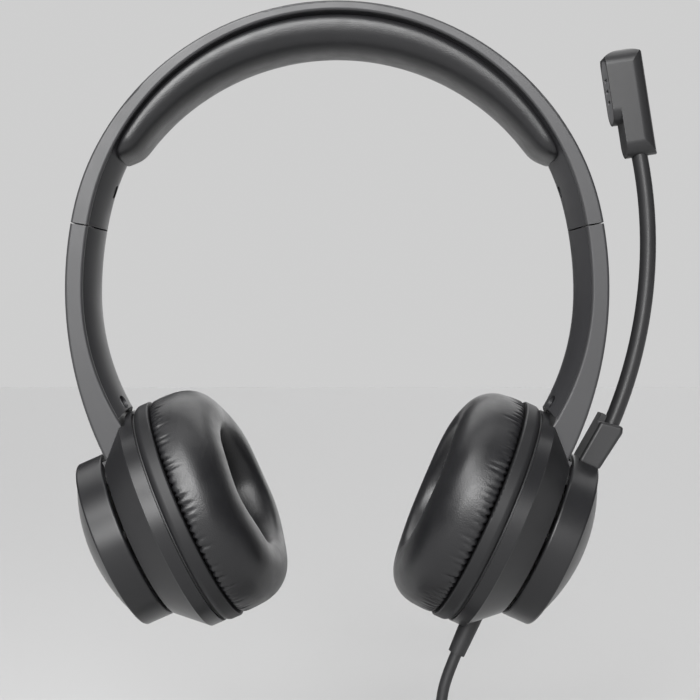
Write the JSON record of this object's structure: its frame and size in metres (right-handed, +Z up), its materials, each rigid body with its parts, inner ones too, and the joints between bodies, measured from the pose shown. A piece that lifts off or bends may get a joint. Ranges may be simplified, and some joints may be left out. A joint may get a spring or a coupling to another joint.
{
  "type": "office headset",
  "caption": "On-ear office headset with padded sprung headband, curved sliding arms, tilting ear cups, a rotating microphone boom and a wired plug.",
  "frame": {"origin": "middle of the underside of the headband pad, where the headset rests on the crown of the head", "axes": "+Z up, +X the wearer's left (microphone and cord side), -Y the wearer's front"},
  "size_m": [0.1781, 0.0706, 0.2688],
  "materials": {
    "shell_plastic": "satin, fine texture",
    "cover_plastic": "satin",
    "cup_plastic": "satin, smooth",
    "ring_plastic": "matte",
    "cushion_leatherette": "soft, fine grain",
    "mic_plastic": "satin",
    "mic_grille": "satin",
    "scrim_fabric": "woven",
    "guide_nylon": "moulded",
    "bush_nylon": "natural nylon",
    "slide_steel": "brushed",
    "screw_steel": "black oxide",
    "magnet_metal": "plated",
    "diaphragm_film": "clear film",
    "cord_rubber": "soft matte",
    "tie_plastic": "coated wire",
    "plug_metal": "nickel plated",
    "plug_insert": "white insert"
  },
  "bodies": {
    "headband": {"headband_shell": "shell_plastic", "headband_cover": "cover_plastic", "headband_spring": "slide_steel", "headband_pad": "cushion_leatherette", "left_band_screw": "screw_steel", "left_slide_guide": "guide_nylon", "right_band_screw": "screw_steel", "right_slide_guide": "guide_nylon"},
    "left_arm": {"left_arm_shell": "shell_plastic", "left_arm_cover": "cover_plastic", "left_slide_bar": "slide_steel", "left_arm_screws": "screw_steel", "left_pivot_plate": "guide_nylon", "left_ball_stud": "slide_steel", "left_cap_screw": "screw_steel"},
    "left_gimbal": {"left_ball_bush": "bush_nylon"},
    "left_cup": {"left_housing": "cup_plastic", "left_socket_retainer": "guide_nylon", "left_baffle": "guide_nylon", "left_driver_magnet": "magnet_metal", "left_driver_frame": "guide_nylon", "left_driver_diaphragm": "diaphragm_film", "left_cushion_ring": "ring_plastic", "left_speaker_scrim": "scrim_fabric", "left_ear_cushion": "cushion_leatherette", "strain_relief": "cord_rubber", "cord": "cord_rubber", "cord_coil": "cord_rubber", "cord_tie": "tie_plastic", "usb_plug_body": "cord_rubber", "usb_plug_shell": "plug_metal", "usb_plug_tongue": "plug_insert"},
    "mic_arm": {"left_cap_ring": "cup_plastic", "left_cap_disc": "cup_plastic", "boom_bracket": "mic_plastic", "mic_boom": "mic_plastic", "mic_housing": "mic_plastic", "mic_face": "mic_grille", "mic_capsule": "magnet_metal"},
    "right_arm": {"right_arm_shell": "shell_plastic", "right_arm_cover": "cover_plastic", "right_slide_bar": "slide_steel", "right_arm_screws": "screw_steel", "right_pivot_plate": "guide_nylon", "right_ball_stud": "slide_steel", "right_cap_screw": "screw_steel", "right_cap_ring": "cup_plastic", "right_cap_disc": "cup_plastic"},
    "right_gimbal": {"right_ball_bush": "bush_nylon"},
    "right_cup": {"right_housing": "cup_plastic", "right_socket_retainer": "guide_nylon", "right_baffle": "guide_nylon", "right_driver_magnet": "magnet_metal", "right_driver_frame": "guide_nylon", "right_driver_diaphragm": "diaphragm_film", "right_cushion_ring": "ring_plastic", "right_speaker_scrim": "scrim_fabric", "right_ear_cushion": "cushion_leatherette"}
  },
  "joints": [
    {"name": "left_slider", "type": "hinge", "parent": "headband", "child": "left_arm", "pos_m": [-0.08531, 0, -0.10501], "axis": [0, 1, 0], "range_deg": [0, 8.4]},
    {"name": "left_tilt", "type": "hinge", "parent": "left_arm", "child": "left_gimbal", "pos_m": [0.05492, 0, -0.14226], "axis": [0, 1, 0], "range_deg": [-1.5, 1.5]},
    {"name": "left_swivel", "type": "hinge", "parent": "left_gimbal", "child": "left_cup", "pos_m": [0.05492, 0, -0.14226], "axis": [0.4067, 0, 0.9135], "range_deg": [-1.5, 1.5]},
    {"name": "right_slider", "type": "hinge", "parent": "headband", "child": "right_arm", "pos_m": [0.08531, 0, -0.10501], "axis": [0, -1, 0], "range_deg": [0, 8.4]},
    {"name": "right_tilt", "type": "hinge", "parent": "right_arm", "child": "right_gimbal", "pos_m": [-0.05492, 0, -0.14226], "axis": [0, -1, 0], "range_deg": [-1.5, 1.5]},
    {"name": "right_swivel", "type": "hinge", "parent": "right_gimbal", "child": "right_cup", "pos_m": [-0.05492, 0, -0.14226], "axis": [-0.4067, 0, 0.9135], "range_deg": [-1.5, 1.5]},
    {"name": "mic_rotation", "type": "hinge", "parent": "left_arm", "child": "mic_arm", "pos_m": [0.0604, 0, -0.1447], "axis": [-0.9135, 0, 0.4067], "range_deg": [-135, 135]}
  ]
}
